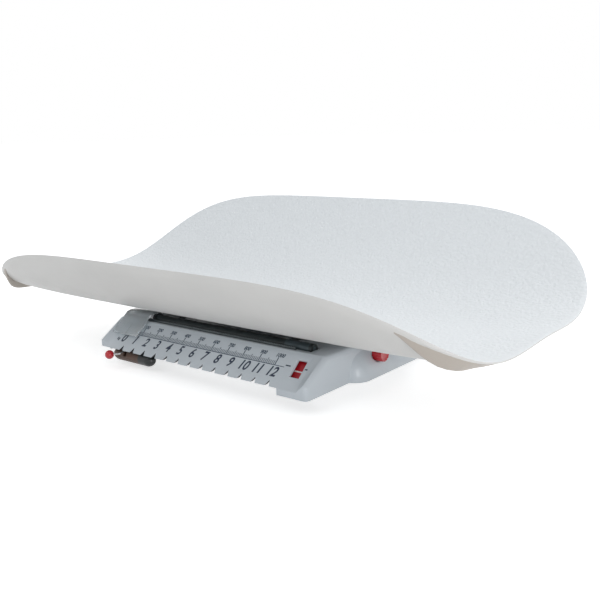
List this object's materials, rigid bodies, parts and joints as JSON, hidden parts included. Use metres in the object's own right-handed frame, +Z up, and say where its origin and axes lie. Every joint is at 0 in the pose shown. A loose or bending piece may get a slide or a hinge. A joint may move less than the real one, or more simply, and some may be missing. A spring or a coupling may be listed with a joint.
{
  "type": "mechanical baby scale",
  "caption": "Mechanical baby scale: a trough tray on a low housing with sliding kilogram and gram poises, a balance indicator and a zero knob.",
  "frame": {"origin": "on the table, under the middle of the tray", "axes": "+X along the tray to the right as its user sees the scale panel, +Y to the back, +Z up"},
  "size_m": [0.554, 0.298, 0.142],
  "materials": {
    "tray_shell": "fine grain",
    "housing_plastic": "satin",
    "zinc_sheet": "zinc plated",
    "rubber": "matt",
    "screw_steel": "bright",
    "hard_steel": "ground",
    "black_steel": "black, satin",
    "rail_steel": "plain",
    "grey_steel": "grey, satin",
    "lever_iron": "grey, matt",
    "brass": "aged",
    "pale_metal": "satin",
    "black_plastic": "satin",
    "clear_plastic": "clear",
    "red_plastic": "gloss",
    "white_plastic": "matt"
  },
  "bodies": {
    "base": {"base_housing": "housing_plastic", "bottom_plate": "zinc_sheet", "rubber_feet": "rubber", "foot_screws": "screw_steel", "cover_screws": "screw_steel", "beam_bracket": "zinc_sheet", "beam_bearings": "hard_steel", "beam_stop": "zinc_sheet", "stop_buffers": "rubber", "fulcrum_posts": "zinc_sheet", "fulcrum_bearings": "hard_steel", "zero_bracket": "zinc_sheet", "zero_bush": "brass"},
    "beam": {"beam_bar": "black_steel", "left_end_bracket": "black_steel", "right_end_bracket": "black_steel", "rod_bracket": "black_steel", "kg_rail": "rail_steel", "gram_rod": "black_steel", "gram_rod_tip": "grey_steel", "gram_rack": "black_steel", "beam_knife": "hard_steel", "load_knife": "hard_steel", "balance_stud": "screw_steel", "balance_weight": "brass", "balance_locknut": "screw_steel", "indicator_plate": "red_plastic", "indicator_line": "white_plastic", "indicator_arm": "black_steel"},
    "kg_poise": {"kg_poise_weight": "brass", "kg_poise_cap": "black_plastic", "kg_poise_carriage": "rail_steel", "catch_pin": "screw_steel"},
    "kg_catch": {"catch_wire": "screw_steel", "catch_ball": "red_plastic"},
    "gram_poise": {"gram_poise_core": "pale_metal", "gram_poise_bush": "black_plastic", "gram_poise_cover": "clear_plastic", "gram_poise_index": "red_plastic"},
    "load_link": {"load_link": "hard_steel"},
    "long_lever": {"long_lever": "lever_iron", "long_lever_knives": "hard_steel"},
    "short_lever": {"short_lever": "lever_iron", "short_lever_knives": "hard_steel"},
    "lever_shackle": {"lever_shackle": "hard_steel"},
    "platform": {"platform_bearings": "hard_steel", "platform_pillars": "zinc_sheet", "platform_plate": "zinc_sheet", "tray_pads": "rubber"},
    "tray": {"tray": "tray_shell"},
    "zero_knob": {"zero_knob": "red_plastic", "zero_spindle": "screw_steel"},
    "zero_nut": {"zero_nut": "brass", "zero_spring": "screw_steel"}
  },
  "joints": [
    {"name": "beam_swing", "type": "hinge", "parent": "base", "child": "beam", "pos_m": [-0.092, -0.073, 0.03], "axis": [0, 1, 0], "range_deg": [-0.7, 0.7]},
    {"name": "load_link_rise", "type": "slide", "parent": "base", "child": "load_link", "axis": [0, 0, 1], "range_m": [-0.0002, 0.0002]},
    {"name": "long_lever_tilt", "type": "hinge", "parent": "base", "child": "long_lever", "pos_m": [0.088, 0, 0.02], "axis": [0, 1, 0], "range_deg": [-0.06, 0.06]},
    {"name": "short_lever_tilt", "type": "hinge", "parent": "base", "child": "short_lever", "pos_m": [-0.076, 0, 0.02], "axis": [0, 1, 0], "range_deg": [-0.06, 0.06]},
    {"name": "shackle_rise", "type": "slide", "parent": "base", "child": "lever_shackle", "axis": [0, 0, 1], "range_m": [-0.0001, 0.0001]},
    {"name": "platform_rise", "type": "slide", "parent": "base", "child": "platform", "axis": [0, 0, 1], "range_m": [-0.00002, 0.00002]},
    {"name": "tray_lift", "type": "slide", "parent": "platform", "child": "tray", "axis": [0, 0, 1], "range_m": [0, 0.12]},
    {"name": "kg_poise_slide", "type": "slide", "parent": "beam", "child": "kg_poise", "axis": [1, 0, 0], "range_m": [0, 0.18]},
    {"name": "kg_catch_press", "type": "hinge", "parent": "kg_poise", "child": "kg_catch", "pos_m": [-0.0886, -0.0874, 0.0167], "axis": [1, 0, 0], "range_deg": [0, 9.7], "stiffness_Nm_per_rad": 0.05, "springref_deg": -11.46},
    {"name": "gram_poise_slide", "type": "slide", "parent": "beam", "child": "gram_poise", "axis": [1, 0, 0], "range_m": [0, 0.181]},
    {"name": "zero_knob_turn", "type": "hinge", "parent": "base", "child": "zero_knob", "pos_m": [0.137, -0.02, 0.0315], "axis": [1, 0, 0], "range_deg": [-545, 545]},
    {"name": "zero_nut_travel", "type": "slide", "parent": "base", "child": "zero_nut", "axis": [1, 0, 0], "range_m": [-0.003, 0.003]}
  ],
  "couplings": [
    {"joint": "load_link_rise", "follows": "beam_swing", "m_per_rad": 0.0145},
    {"joint": "long_lever_tilt", "follows": "beam_swing", "ratio": 0.07455},
    {"joint": "short_lever_tilt", "follows": "beam_swing", "ratio": -0.07455},
    {"joint": "shackle_rise", "follows": "beam_swing", "m_per_rad": 0.0061131},
    {"joint": "platform_rise", "follows": "beam_swing", "m_per_rad": 0.0008946},
    {"joint": "zero_knob_turn", "follows": "zero_nut_travel", "rad_per_m": 3141.6}
  ]
}
